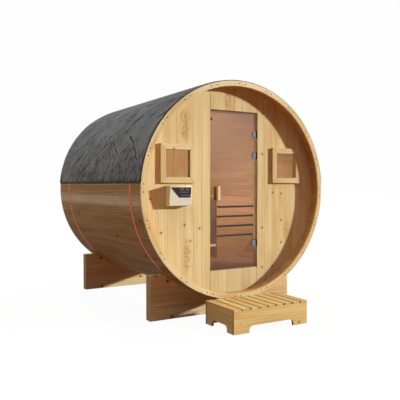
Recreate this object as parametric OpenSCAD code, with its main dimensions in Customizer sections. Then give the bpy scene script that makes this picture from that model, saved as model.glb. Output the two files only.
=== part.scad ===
// Barrel sauna: a staved barrel with recessed end walls and a glass door, carried on two cradles,
// with a felt roof, two hoops, a bench inside and a step in front of the door.
// Millimetres, +Z up, the door faces -Y. The origin is on the ground, midway along and across.

/* [Barrel] */
// Distance from the barrel's axis to the staves' outer faces
barrel_r = 1050; // [950:5:1200]
// Length of the barrel over its rim rings
barrel_len = 2410; // [2100:10:3000]
// Open height under the barrel
under_barrel = 187; // [130:1:300]
// Thickness of a stave
stave_t = 48; // [38:1:58]
// Number of staves round the barrel
stave_count = 66; // [54:2:80]
// Open seam between neighbouring staves
stave_seam = 0.4; // [0.3:0.1:0.8]
// Eased edge along each corner of a stave
stave_ease = 1; // [0.5:0.5:5]
// Radius of the bead along a stave's edge
bead_r = 12; // [8:0.5:14]
// How far the bead reaches into the next stave
bead_out = 6; // [3:0.5:7]
// Depth of the grooves in the staves that hold the end walls
groove_d = 12; // [6:0.5:16]
// Thickness of the rim rings on the staves' ends
rim_t = 20; // [12:1:30]
// Number of segments in a rim ring
rim_count = 20; // [12:1:30]
// Open joint between the segments of a rim ring
rim_joint = 2; // [0.5:0.5:4]
// Turn of the rim rings' joints, clockwise from the top
rim_turn = 1.4; // [0:0.1:9]

/* [Hoops and roof] */
// Width of a hoop
hoop_w = 40; // [25:1:60]
// Thickness of a hoop
hoop_t = 2; // [1:0.5:3]
// From the front rim to the middle of the front hoop
front_hoop_y = 236; // [200:1:250]
// From the back rim to the middle of the rear hoop
rear_hoop_back = 374; // [330:1:500]
// Thickness of the roof felt
felt_t = 6; // [3:0.5:10]
// How far the felt stops short of the barrel's ends
felt_inset = 8; // [0:1:40]
// Height of the felt's lower edges above the barrel's axis
felt_edge_z = 71; // [0:1:200]

/* [Cradles] */
// Width of a cradle across the barrel
cradle_w = 1658; // [1400:2:1900]
// Height of a cradle at its ends
cradle_h = 433; // [380:1:520]
// Thickness of a cradle along the barrel
cradle_t = 90; // [60:1:140]
// From the front rim to the front cradle
front_cradle_y = 285; // [280:1:400]
// From the back rim to the rear cradle
rear_cradle_back = 205; // [40:1:250]

/* [End walls] */
// How far each end wall is set back from the staves' ends
wall_recess = 100; // [60:1:160]
// Thickness of an end wall
wall_t = 44; // [30:1:60]
// Width of the back wall's middle panel
back_panel_w = 744; // [500:2:1000]

/* [Doorway] */
// Width of the doorway
door_w = 560; // [500:2:640]
// Height of the panels over and under the doorway, at their middle
header_h = 227; // [180:1:300]
// Width of the posts beside the doorway
post_w = 92; // [60:1:120]
// Depth of the posts, the header and the sill
post_t = 70; // [66:1:90]
// Width of the stop behind the door
stop_w = 18; // [12:1:30]
// Free room round the moving door
door_gap = 6; // [5.5:0.5:8]

/* [Glass door] */
// Thickness of the door's glass
glass_t = 8; // [6:0.5:10]
// How far the glass is set back from the wall's face
glass_setback = 16; // [14:1:34]
// From the doorway's hinge side to the hinge axis
hinge_inset = 18; // [17:0.5:22]
// From the doorway's top to the upper hinge
upper_hinge_drop = 215; // [120:1:250]
// From the doorway's top to the middle hinge
middle_hinge_drop = 427; // [400:1:800]
// From the doorway's bottom to the lower hinge
lower_hinge_rise = 242; // [120:1:400]
// Width of a hinge clamp
clamp_w = 40; // [30:1:60]
// Height of a hinge clamp
clamp_h = 56; // [40:1:70]
// Thickness of each clamp plate
clamp_plate_t = 5; // [3:0.5:6]
// Radius of the hinge pin
pin_r = 4; // [3:0.5:5]
// Thickness of a hinge bracket's wall plate
bracket_t = 2; // [1.5:0.1:2]
// Wall of the hinge knuckle round its bore
knuckle_wall = 3.5; // [3:0.1:4]
// Wall of a hinge bracket's ear round the pin
ear_wall = 2; // [1.5:0.1:3]
// Height of a hinge bracket's ear
ear_h = 6; // [4:0.5:10]
// Width of the handle
handle_w = 32; // [16:1:36]
// How far the outer handle stands out from the glass
handle_d = 40; // [35:1:70]
// How far the inner handle stands out from the glass
inner_handle_d = 28; // [27:1:60]
// Height of the handle
handle_h = 134; // [100:1:260]
// From the doorway's latch side to the middle of the handle
handle_inset = 86; // [40:1:120]
// Height of the handle's middle above the barrel's axis
handle_z = -28; // [-150:1:150]
// From the doorway's top to the middle of the catch
catch_drop = 91; // [40:1:120]
// From the doorway's bottom to the middle of the latch bar
latch_rise = 244; // [100:1:400]
// Length of the latch bar
latch_w = 72; // [40:1:100]
// Height of the latch bar
latch_h = 22; // [14:1:40]

/* [Windows] */
// Clear width and height of a window
window_w = 250; // [180:2:300]
// Width of the window frame's rails
frame_w = 55; // [40:1:70]
// How far the window frame stands out from the wall
frame_t = 22; // [12:1:30]
// From each window's middle to the side of the barrel inside
window_edge = 364; // [342:1:402]
// Height of each window's middle above the barrel's axis
window_z = 250; // [200:1:300]
// Thickness of the window glass
pane_t = 6; // [4:0.5:10]
// How far the window glass is set back from the wall's face
pane_setback = 5; // [2:0.5:15]

/* [Control box] */
// Width of the control box
box_w = 233; // [180:1:260]
// Height of the control box
box_h = 185; // [150:1:200]
// Depth of the control box at its top
box_d = 80; // [50:1:95]
// How much less deep the control box is at its foot
box_slope = 20; // [0:1:30]
// Gap between the window frame and the control box below it
box_drop = 26; // [10:1:50]
// Width of the display along its top
display_w = 206; // [150:1:214]
// Width of the display along its foot
display_foot = 114; // [80:1:150]
// Height of the display
display_h = 94; // [60:1:120]

/* [Floor and bench] */
// Step down from the doorway's foot to the floor
floor_drop = 5; // [1:1:60]
// Thickness of the floor boards
floor_t = 22; // [18:1:30]
// Width of a floor board
floor_board_w = 111.5; // [80:0.5:140]
// Width of a floor bearer
bearer_t = 45; // [30:1:60]
// Distance of the bench's front from the middle of the barrel
bench_x = 296; // [250:1:450]
// From the front rim to the bench's end
bench_y = 893; // [700:1:1100]
// Height of the seat's top above the floor
seat_h = 691; // [620:1:740]
// Thickness of the seat boards
seat_t = 28; // [20:1:36]
// Width of a seat board
seat_board_w = 102; // [80:1:140]
// Thickness of the bench's facing boards
facing_t = 22; // [16:1:28]
// Height of the bench's apron board
apron_h = 99; // [80:1:120]
// Height of a facing board
facing_h = 88; // [70:1:95]
// Open gap between facing boards
facing_gap = 23; // [12:1:30]
// Width and depth of a bench leg
leg_w = 45; // [38:1:60]

/* [Step] */
// Width of the step
step_w = 823; // [600:1:1000]
// Depth of the step
step_d = 466; // [350:1:600]
// Height of the step
step_h = 216; // [160:1:260]
// Open room between the step and the front rim
step_room = 32; // [10:1:80]
// Number of slats on the step
slat_count = 9; // [6:1:12]
// Thickness of a slat
slat_t = 20; // [15:1:30]
// Open gap between slats
slat_gap = 14; // [8:1:20]
// Thickness of the step's skirt boards
skirt_t = 22; // [16:1:30]
// Width of each foot on the front and back skirts
foot_w = 165; // [100:1:200]
// Width of each foot on the side skirts
side_foot_w = 110; // [80:1:130]
// Height of the cut-out between the feet
foot_h = 60; // [40:1:90]
// Corner radius of the cut-out
foot_r = 38; // [15:1:38]

/* [Hidden] */
$fn = 96;

// Clearance between a seated piece and the curved or close seat that holds it
seat_gap = 0.3;
// Radial running clearance of a hinge pin
pin_gap = 0.08;
// Clearance at the ends of a hinge knuckle
knuckle_gap = 1;
// Margin by which a cutting shape runs past what it cuts
over = 1;

// Barrel
quarter = 90;
half_step = 180 / stave_count;
axis_z = barrel_r + under_barrel;
inner_r = barrel_r - stave_t;
middle_r = barrel_r - stave_t / 2;
wall_r = inner_r - seat_gap;
groove_r = inner_r + groove_d;
corner_r = norm([barrel_r, stave_half(barrel_r) - stave_ease]);
hoop_r = corner_r + seat_gap;
felt_r = hoop_r + hoop_t + seat_gap;
rear_hoop_y = barrel_len - rear_hoop_back;
rear_cradle_y = barrel_len - rear_cradle_back - cradle_t;
front_y = (step_room + step_d - barrel_len) / 2;

// End walls and doorway
back_wall_y = barrel_len - wall_recess - wall_t;
door_h = 2 * (inner_r - header_h);
post_x = door_w / 2 + post_w;
window_x = inner_r - window_edge;
pane_w = window_w + frame_w / 2;

// Glass door
glass_y = wall_recess + glass_setback;
hinge_x = door_w / 2 - hinge_inset;
hinge_y = glass_y + glass_t / 2;
hinge_levels = [
    door_h / 2 - upper_hinge_drop, door_h / 2 - middle_hinge_drop, lower_hinge_rise - door_h / 2
];
glass_right = door_w / 2 - door_gap;
glass_left = -door_w / 2 + door_gap;
glass_h = door_h - 2 * door_gap;
clamp_front = hinge_y - glass_t / 2 - clamp_plate_t;
clamp_d = glass_t + 2 * clamp_plate_t;
knuckle_r = pin_r + knuckle_wall;
clamp_nose = 2;
ear_r = pin_r + ear_wall;
notch_x = hinge_x - ear_r - door_gap;
ear_z = clamp_h / 2 + knuckle_gap;
bracket_h = 2 * (ear_z + ear_h);
notch_h = bracket_h + 2 * door_gap;
stop_y = glass_y + glass_t + door_gap;
stop_end = hinge_x - ear_r - door_gap - stop_w;
handle_x = -door_w / 2 + handle_inset;
neck_d = 16;
neck_w = 12;
handle_round = 5;
catch_z = door_h / 2 - catch_drop;
catch_size = 24;
catch_t = 5;

// Control box
box_top_z = window_z - window_w / 2 - frame_w - box_drop;
box_ease = 6;
lean = atan(box_slope / (box_h - 2 * box_ease));
display_margin = 14;
display_t = 3;

// Floor and bench
floor_z = -door_h / 2 - floor_drop;
seat_z = floor_z + seat_h;
floor_y = wall_recess + post_t;
floor_len = back_wall_y - floor_y;
floor_half = sqrt(wall_r * wall_r - (floor_z - floor_t) * (floor_z - floor_t));
floor_gap = 5;
floor_pitch = floor_board_w + floor_gap;
floor_count = floor((floor_len + floor_gap) / floor_pitch);
bearer_inset = 150;
bearer_count = 3;
seat_under = seat_z - seat_t;
seat_half = sqrt(wall_r * wall_r - seat_under * seat_under);
seat_y = bench_y + facing_t;
seat_len = back_wall_y - seat_y;
seat_slot = 9;
seat_pitch = seat_board_w + seat_slot;
seat_count = floor((seat_half - bench_x + seat_slot) / seat_pitch);
facing_pitch = facing_h + facing_gap;
facing_count = 3;
kick_top = seat_z - apron_h - facing_count * facing_pitch - facing_gap;
kick_inset = 12;
front_seam = 4;
front_count = 6;
front_board_h = (seat_under - floor_z) / front_count - front_seam;
joist_h = 70;
frame_count = 3;
frame_inset = 130;
frame_pitch = (seat_len - frame_inset - leg_w) / (frame_count - 1);

// Step
step_front = -step_room - step_d;
skirt_h = step_h - slat_t;
slat_w = (step_w - (slat_count - 1) * slat_gap) / slat_count;

// Half the width of a stave at a given distance from the axis
function stave_half(r) = r * tan(half_step) - stave_seam / 2;

// Angle of a stave's middle, clockwise from the top of the barrel
function stave_angle(i) = (i + 0.5) * 2 * half_step;

// Numbers of the staves whose middles lie within a quarter turn that starts at an angle
function staves_from(start) = [
    for (i = [-stave_count / 2 : stave_count])
        if (stave_angle(i) >= start && stave_angle(i) < start + quarter) i
];

// Turns an outline in X and Z into a slab that runs back along the barrel from the front rim
module slab(y, depth) {
    translate([0, front_y + y + depth, axis_z])
        rotate([90, 0, 0])
            linear_extrude(height = depth)
                children();
}

// Rectangle from one corner to the opposite one
module span(low, high) {
    translate(low)
        square(high - low);
}

// Rectangle with round corners, centred
module round_rect(w, h, r) {
    square([w, h - 2 * r], center = true);
    square([w - 2 * r, h], center = true);
    for (x = [-1, 1], z = [-1, 1])
        translate([x * (w / 2 - r), z * (h / 2 - r)])
            circle(r);
}

// Upright strip of an end wall between two sideways limits
module strip(x_low, x_high) {
    span([x_low, -barrel_r], [x_high, barrel_r]);
}

// Piece of an end wall: its outline let into the groove in the staves, and what is deeper than the wall
// cut to the staves' inner faces
module wall_slab(y, depth) {
    slab(y, wall_t)
        intersection() {
            circle(groove_r - seat_gap);
            children();
        }
    if (depth > wall_t)
        slab(y + wall_t, depth - wall_t)
            intersection() {
                circle(wall_r);
                children();
            }
}

// Circle in the seam on one side of a stave, for its bead or its cove
module seam_circle(turn, r) {
    rotate(turn)
        translate([bead_out - bead_r, middle_r])
            circle(r);
}

// Outline of one stave, with the barrel's axis at the origin: a bead on one edge and a cove in the other
module stave_outline() {
    right = [
        [stave_half(barrel_r) - stave_ease, barrel_r],
        [stave_half(barrel_r - stave_ease), barrel_r - stave_ease],
        [stave_half(inner_r + stave_ease), inner_r + stave_ease],
        [stave_half(inner_r) - stave_ease, inner_r]
    ];
    left = [for (i = [len(right) - 1 : -1 : 0]) [-right[i].x, right[i].y]];
    difference() {
        union() {
            polygon(concat(right, left));
            seam_circle(-half_step, bead_r);
        }
        seam_circle(half_step, bead_r + stave_seam);
    }
}

// Staves of one quarter, each grooved across its inner face for the two end walls
module staves(start) {
    for (i = staves_from(start))
        difference() {
            slab(rim_t, barrel_len - 2 * rim_t)
                rotate(-stave_angle(i))
                    stave_outline();
            for (y = [wall_recess, back_wall_y])
                slab(y - seat_gap, wall_t + 2 * seat_gap)
                    circle(groove_r);
        }
}

module roof_staves() {
    color("tan") staves(-quarter / 2);
}

module right_staves() {
    color("burlywood") staves(quarter / 2);
}

module belly_staves() {
    color("tan") staves(quarter * 3 / 2);
}

module left_staves() {
    color("burlywood") staves(-quarter * 3 / 2);
}

// Ring of butted segments that covers the staves' ends
module rim_ring(y) {
    pitch = 360 / rim_count;
    slab(y, rim_t)
        difference() {
            circle(barrel_r);
            circle(inner_r);
            for (i = [0 : rim_count - 1])
                rotate(-rim_turn - i * pitch)
                    translate([-rim_joint / 2, 0])
                        square([rim_joint, barrel_r + over]);
        }
}

module front_rim_ring() {
    color("wheat") rim_ring(0);
}

module back_rim_ring() {
    color("wheat") rim_ring(barrel_len - rim_t);
}

module hoop(y) {
    slab(y - hoop_w / 2, hoop_w)
        difference() {
            circle(hoop_r + hoop_t);
            circle(hoop_r);
        }
}

module front_hoop() {
    color("chocolate") hoop(front_hoop_y);
}

module rear_hoop() {
    color("chocolate") hoop(rear_hoop_y);
}

// Felt over the upper half of the barrel, lying on the hoops
module roof_felt() {
    color("dimgray")
        slab(felt_inset, barrel_len - 2 * felt_inset)
            difference() {
                intersection() {
                    circle(felt_r + felt_t);
                    span([-2 * barrel_r, felt_edge_z], [2 * barrel_r, 2 * barrel_r]);
                }
                circle(felt_r);
            }
}

// Cradle from the ground up, with a saddle that follows the barrel
module cradle(y) {
    slab(y, cradle_t)
        difference() {
            span([-cradle_w / 2, -axis_z], [cradle_w / 2, cradle_h - axis_z]);
            circle(hoop_r);
        }
}

module front_cradle() {
    color("peru") cradle(front_cradle_y);
}

module rear_cradle() {
    color("peru") cradle(rear_cradle_y);
}

// Side panel of the front wall with its window cut through; side is -1 on the left and 1 on the right
module front_wall_side(side) {
    wall_slab(wall_recess, wall_t)
        difference() {
            strip(side < 0 ? -barrel_r : post_x, side < 0 ? -post_x : barrel_r);
            translate([side * window_x, window_z])
                square(pane_w, center = true);
        }
}

module front_wall_left() {
    color("burlywood") front_wall_side(-1);
}

module front_wall_right() {
    color("burlywood") front_wall_side(1);
}

module door_post_left() {
    color("wheat")
        wall_slab(wall_recess, post_t)
            strip(-post_x, -door_w / 2);
}

module door_post_right() {
    color("wheat")
        wall_slab(wall_recess, post_t)
            strip(door_w / 2, post_x);
}

// Panel between the posts over or under the doorway
module door_panel(over_door) {
    wall_slab(wall_recess, post_t)
        difference() {
            strip(-door_w / 2, door_w / 2);
            translate([0, over_door ? -barrel_r : barrel_r])
                square([door_w + over, 2 * barrel_r + door_h], center = true);
        }
}

module door_header() {
    color("burlywood") door_panel(true);
}

module door_sill() {
    color("burlywood") door_panel(false);
}

// Strips behind the door's latch side, top and bottom
module door_stop() {
    color("sienna")
        slab(stop_y, wall_recess + post_t - stop_y) {
            span([-door_w / 2, stop_w + seat_gap - door_h / 2], [stop_w - door_w / 2, door_h / 2 - stop_w - seat_gap]);
            for (z = [-door_h / 2, door_h / 2 - stop_w])
                span([-door_w / 2, z], [stop_end, z + stop_w]);
        }
}

module back_wall_left() {
    color("burlywood")
        wall_slab(back_wall_y, wall_t)
            strip(-barrel_r, -back_panel_w / 2);
}

module back_wall_middle() {
    color("wheat")
        wall_slab(back_wall_y, wall_t)
            strip(-back_panel_w / 2, back_panel_w / 2);
}

module back_wall_right() {
    color("burlywood")
        wall_slab(back_wall_y, wall_t)
            strip(back_panel_w / 2, barrel_r);
}

// Four mitred rails round a window, standing on the wall
module window_frame(side) {
    inner = window_w / 2;
    outer = inner + frame_w;
    mitre = seat_gap / 2;
    for (turn = [0 : quarter : 3 * quarter])
        slab(wall_recess - frame_t, frame_t)
            translate([side * window_x, window_z])
                rotate(turn)
                    polygon([
                        [mitre - inner, inner], [inner - mitre, inner],
                        [outer - mitre, outer], [mitre - outer, outer]
                    ]);
}

module window_frame_left() {
    color("wheat") window_frame(-1);
}

module window_frame_right() {
    color("wheat") window_frame(1);
}

// Pane held in the wall's opening behind the frame
module window_glass(side) {
    slab(wall_recess + pane_setback, pane_t)
        translate([side * window_x, window_z])
            square(pane_w - 2 * seat_gap, center = true);
}

module window_glass_left() {
    color("rosybrown") window_glass(-1);
}

module window_glass_right() {
    color("rosybrown") window_glass(1);
}

// Boards laid across the barrel
module floor_boards() {
    color("tan")
        for (i = [0 : floor_count - 1])
            slab(floor_y + i * floor_pitch, floor_board_w)
                span([-floor_half, floor_z - floor_t], [floor_half, floor_z]);
}

// Bearers along the barrel, under the floor boards, cut to its curve
module floor_bearers() {
    reach = floor_half - bearer_inset;
    pitch = (2 * reach - bearer_t) / (bearer_count - 1);
    color("peru")
        for (i = [0 : bearer_count - 1])
            slab(floor_y, floor_len)
                intersection() {
                    circle(wall_r);
                    translate([i * pitch - reach, -barrel_r])
                        square([bearer_t, barrel_r + floor_z - floor_t]);
                }
}

module bench_seat() {
    color("wheat")
        for (i = [0 : seat_count - 1])
            slab(seat_y, seat_len)
                translate([bench_x + i * seat_pitch, seat_under])
                    square([seat_board_w, seat_t]);
}

// Outline of a bench piece that runs out to the curved wall
module bench_outline(x, z_low, z_high) {
    intersection() {
        circle(wall_r);
        span([x, z_low], [barrel_r, z_high]);
    }
}

// Apron and spaced boards that face the door
module bench_end_boards() {
    color("burlywood")
        slab(bench_y, facing_t) {
            bench_outline(bench_x, seat_z - apron_h, seat_z);
            for (i = [1 : facing_count]) {
                low = seat_z - apron_h - i * facing_pitch;
                bench_outline(bench_x, low, low + facing_h);
            }
        }
}

// Close-set boards that face the aisle
module bench_front_boards() {
    color("burlywood")
        for (i = [0 : front_count - 1])
            slab(seat_y, seat_len)
                translate([bench_x, floor_z + i * (front_board_h + front_seam)])
                    square([facing_t, front_board_h]);
}

// Board set back below the spaced boards
module bench_kick_board() {
    color("saddlebrown")
        slab(seat_y + kick_inset, facing_t)
            bench_outline(bench_x + facing_t, floor_z, kick_top);
}

// Legs, each with a joist that runs out to the curved wall
module bench_frame() {
    leg_x = bench_x + facing_t;
    color("peru")
        for (i = [0 : frame_count - 1])
            slab(seat_y + frame_inset + i * frame_pitch, leg_w) {
                span([leg_x, floor_z], [leg_x + leg_w, seat_under]);
                bench_outline(leg_x, seat_under - joist_h, seat_under);
            }
}

// Glass with a notch in its edge at each hinge
module door_glass() {
    color("rosybrown")
        slab(glass_y, glass_t)
            difference() {
                span([glass_left, -glass_h / 2], [glass_right, glass_h / 2]);
                for (z = hinge_levels)
                    span([notch_x, z - notch_h / 2], [glass_right + over, z + notch_h / 2]);
            }
}

// Plan of a pull handle that starts on the glass and points along -Y
module handle_plan(depth) {
    grip_d = depth - neck_d;
    translate([0, -neck_d - grip_d / 2])
        round_rect(handle_w, grip_d, handle_round);
    translate([-neck_w / 2, -neck_d - handle_round])
        square([neck_w, neck_d + handle_round]);
}

module handle(y, depth, direction) {
    color("sienna")
        translate([handle_x, front_y + y, axis_z + handle_z - handle_h / 2])
            linear_extrude(height = handle_h)
                rotate(direction < 0 ? 0 : 180)
                    handle_plan(depth);
}

module door_handle_outer() {
    handle(glass_y, handle_d, -1);
}

module door_handle_inner() {
    handle(glass_y + glass_t, inner_handle_d, 1);
}

// Clamp plates on both faces of the glass, joined by a knuckle that turns on the hinge pin
module door_hinge_clamps() {
    color("silver")
        for (z = hinge_levels)
            translate([hinge_x, front_y + hinge_y, axis_z + z - clamp_h / 2])
                linear_extrude(height = clamp_h)
                    difference() {
                        union() {
                            circle(knuckle_r);
                            for (y = [-clamp_d / 2, glass_t / 2])
                                translate([knuckle_r - clamp_w, y])
                                    square([clamp_w - clamp_nose, clamp_plate_t]);
                        }
                        circle(pin_r + pin_gap);
                    }
}

// Wall plate with an ear above and below each clamp, and the pin between the ears
module door_hinge_brackets() {
    color("lightgray")
        for (z = hinge_levels)
            translate([hinge_x, front_y + hinge_y, axis_z + z]) {
                translate([hinge_inset - bracket_t, -clamp_d, -bracket_h / 2])
                    cube([bracket_t, 2 * clamp_d, bracket_h]);
                for (low = [-bracket_h / 2, ear_z])
                    translate([0, 0, low])
                        linear_extrude(height = ear_h) {
                            circle(ear_r);
                            translate([0, -ear_r])
                                square([hinge_inset - bracket_t, 2 * ear_r]);
                        }
                translate([0, 0, -bracket_h / 2])
                    cylinder(r = pin_r, h = bracket_h);
            }
}

// Small catch plate on the latch edge of the glass
module door_catch() {
    color("dimgray")
        slab(glass_y - catch_t, catch_t)
            span([glass_left, catch_z - catch_size / 2], [glass_left + catch_size, catch_z + catch_size / 2]);
}

// Low bar with a round end on the latch edge of the glass
module door_latch() {
    straight = latch_w - latch_h / 2;
    color("linen")
        slab(glass_y - catch_t, catch_t)
            translate([glass_left, latch_rise - door_h / 2]) {
                translate([0, -latch_h / 2])
                    square([straight, latch_h]);
                translate([straight, 0])
                    circle(latch_h / 2);
            }
}

// Places a piece on the wall under the left window, with the top of the control box at z = 0
module box_place() {
    translate([-window_x, front_y + wall_recess, axis_z + box_top_z])
        children();
}

// Box whose front leans back towards its foot, made from its side profile
module control_box() {
    color("beige")
        box_place()
            translate([-box_w / 2, 0, 0])
                rotate([90, 0, 90])
                    linear_extrude(height = box_w)
                        polygon([
                            [0, 0], [box_ease - box_d, 0], [-box_d, -box_ease],
                            [box_slope - box_d, box_ease - box_h], [box_slope - box_d + box_ease, -box_h],
                            [0, -box_h]
                        ]);
}

// Display plate with a slanted end on the leaning front of the control box
module control_display() {
    right = box_w / 2 - display_margin;
    top = -display_margin;
    color("black")
        box_place()
            translate([0, -box_d, -box_ease])
                rotate([quarter + lean, 0, 0])
                    translate([0, box_ease, 0])
                        linear_extrude(height = display_t)
                            polygon([
                                [right, top], [right, top - display_h],
                                [right - display_foot, top - display_h], [right - display_w, top]
                            ]);
}

// Skirt board with a round-cornered cut-out between its feet
module skirt_outline(w, foot) {
    gap = w - 2 * foot;
    difference() {
        span([-w / 2, -axis_z], [w / 2, skirt_h - axis_z]);
        translate([0, -axis_z])
            intersection() {
                round_rect(gap, 2 * foot_h, foot_r);
                span([-w, -over], [w, foot_h + over]);
            }
    }
}

module step_front_skirt() {
    color("burlywood")
        slab(step_front, skirt_t)
            skirt_outline(step_w, foot_w);
}

module step_back_skirt() {
    color("burlywood")
        slab(-step_room - skirt_t, skirt_t)
            skirt_outline(step_w, foot_w);
}

// Side skirts between the front and back ones
module step_side_skirts() {
    color("tan")
        for (x = [-step_w / 2, step_w / 2 - skirt_t])
            translate([x, front_y + step_front + step_d / 2, axis_z])
                rotate([90, 0, 90])
                    linear_extrude(height = skirt_t)
                        skirt_outline(step_d - 2 * skirt_t, side_foot_w - skirt_t);
}

module step_slats() {
    color("wheat")
        for (i = [0 : slat_count - 1])
            slab(step_front, step_d)
                translate([i * (slat_w + slat_gap) - step_w / 2, skirt_h - axis_z])
                    square([slat_w, slat_t]);
}

roof_staves();
left_staves();
right_staves();
belly_staves();
front_rim_ring();
back_rim_ring();
front_hoop();
rear_hoop();
roof_felt();
front_cradle();
rear_cradle();
front_wall_left();
front_wall_right();
door_post_left();
door_post_right();
door_header();
door_sill();
door_stop();
back_wall_left();
back_wall_middle();
back_wall_right();
window_frame_left();
window_frame_right();
window_glass_left();
window_glass_right();
floor_boards();
floor_bearers();
bench_seat();
bench_end_boards();
bench_front_boards();
bench_kick_board();
bench_frame();
door_glass();
door_handle_outer();
door_handle_inner();
door_hinge_clamps();
door_catch();
door_latch();
door_hinge_brackets();
control_box();
control_display();
step_front_skirt();
step_back_skirt();
step_side_skirts();
step_slats();
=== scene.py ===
"""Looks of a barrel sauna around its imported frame: boards, felt, glass, metal, light and camera."""
import math

import bmesh
import bpy
import numpy as np
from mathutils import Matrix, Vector


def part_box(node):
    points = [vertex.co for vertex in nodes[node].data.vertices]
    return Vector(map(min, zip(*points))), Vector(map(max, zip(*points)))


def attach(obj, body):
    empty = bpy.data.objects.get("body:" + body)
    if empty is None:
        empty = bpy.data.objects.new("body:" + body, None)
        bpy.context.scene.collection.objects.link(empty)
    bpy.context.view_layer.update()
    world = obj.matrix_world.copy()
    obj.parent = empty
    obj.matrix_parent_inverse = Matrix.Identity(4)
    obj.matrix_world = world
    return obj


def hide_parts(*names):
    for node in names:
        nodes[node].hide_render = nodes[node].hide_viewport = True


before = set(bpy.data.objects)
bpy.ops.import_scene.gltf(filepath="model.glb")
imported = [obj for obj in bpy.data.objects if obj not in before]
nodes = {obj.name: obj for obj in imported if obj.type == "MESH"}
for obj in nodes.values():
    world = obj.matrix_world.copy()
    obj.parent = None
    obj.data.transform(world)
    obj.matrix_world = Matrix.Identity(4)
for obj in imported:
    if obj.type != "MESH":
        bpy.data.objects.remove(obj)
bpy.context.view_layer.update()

# Places and sizes in metres, read from the frame
RIM_LOW, RIM_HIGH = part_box("front_rim_ring")
AXIS_Z = (RIM_LOW.z + RIM_HIGH.z) / 2
BARREL_R = (RIM_HIGH.z - RIM_LOW.z) / 2
FRONT_Y = RIM_LOW.y
BACK_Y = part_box("back_rim_ring")[1].y
WALL_LOW, WALL_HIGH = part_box("front_wall_left")
WALL_R = -WALL_LOW.x
POST_X = -WALL_HIGH.x
DOOR_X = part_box("door_post_right")[0].x
POST_BACK_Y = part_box("door_post_right")[1].y
BACK_WALL_LOW, BACK_WALL_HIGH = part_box("back_wall_middle")
FELT_LOW, FELT_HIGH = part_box("roof_felt")
FELT_REACH = math.acos((FELT_LOW.z - AXIS_Z) / FELT_HIGH.x)
FRAME_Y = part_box("window_frame_left")[0].y
FRONT_CRADLE_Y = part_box("front_cradle")[0].y
REAR_CRADLE_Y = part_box("rear_cradle")[0].y
STEP_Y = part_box("step_front_skirt")[0].y

# Counts, sizes and turns that the frame doesn't give
STAVE_COUNT = 66
STAVE_T = 0.048
RIM_COUNT = 20
RIM_TURN = math.radians(1.4)
FELT_T = 0.006
SIDE_BOARDS = 7
PANEL_BOARDS = 6
BACK_BOARDS = 22
SLAT_COUNT = 9
SLAT_TRIM = 0.003

# Seams between boards, beside the posts, and beside the door's header and sill
BOARD_SEAM = 0.0004
WALL_SEAM = 0.001
POST_SEAM = 0.003

# The walls are let into the staves; the header and sill boards end at the staves' inner faces.
PANEL_R = WALL_R - 0.0117

# Rounding of edges in metres
BOARD_EASE = 0.0007
STEP_EASE = 0.0015
POST_EASE = 0.0015
HANDLE_EASE = 0.002
FRAME_EASE = 0.003
CRADLE_EASE = 0.004
BOX_EASE = 0.005

# Base colours of the woods, linear: pale, dark and warm parts of the grain
PINE = ((0.77, 0.60, 0.33), (0.62, 0.43, 0.20), (0.62, 0.33, 0.11))
# Painted light: paler tones for the top of the rim.
RIM_LIT_TOP = ((0.86, 0.71, 0.46), (0.78, 0.60, 0.34), (0.76, 0.52, 0.24))
# Painted shade: a darker copy of the pine for the staves' outside.
STAVE_SHADED = ((0.51, 0.345, 0.18), (0.30, 0.177, 0.075), (0.40, 0.205, 0.07))
# Painted highlight: a paler copy of the stave tones for a band along the staves.
STAVE_SHEEN = ((0.64, 0.51, 0.37), (0.42, 0.295, 0.18), (0.49, 0.325, 0.185))
# Painted shade: a darker copy of the inside pine for the overhang's inner faces.
OVERHANG_SHADED = ((0.60, 0.34, 0.155), (0.48, 0.245, 0.10), (0.50, 0.23, 0.075))
CRADLE = ((0.83, 0.61, 0.35), (0.60, 0.365, 0.165), (0.70, 0.40, 0.155))
STEP = ((0.73, 0.52, 0.225), (0.57, 0.36, 0.13), (0.60, 0.31, 0.085))
INSIDE = ((0.74, 0.495, 0.28), (0.58, 0.345, 0.17), (0.65, 0.37, 0.16))
SEAT = ((0.74, 0.59, 0.41), (0.64, 0.48, 0.30), (0.66, 0.46, 0.27))
HANDLE = ((0.82, 0.64, 0.34), (0.70, 0.48, 0.21), (0.74, 0.46, 0.18))
KNOT_BROWN = (0.16, 0.055, 0.02)

# Shades that darken end grain, and painted shade that darkens the low parts of a wall, and where they show
END_SHADE = (0.58, 0.50, 0.44)
END_FACING = (0.85, 0.95)
LOW_WALL_SHADE = (0.80, 0.81, 0.85)
LOW_SHADE_TOP = AXIS_Z - 0.45 * WALL_R

# Parts of a noise's range over which ramps run
NARROW = (0.3, 0.7)
MEDIUM = (0.25, 0.75)
WIDE = (0.2, 0.8)


def scaled(colour, share):
    """Colour times a share."""
    return tuple(share * c for c in colour)


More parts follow.
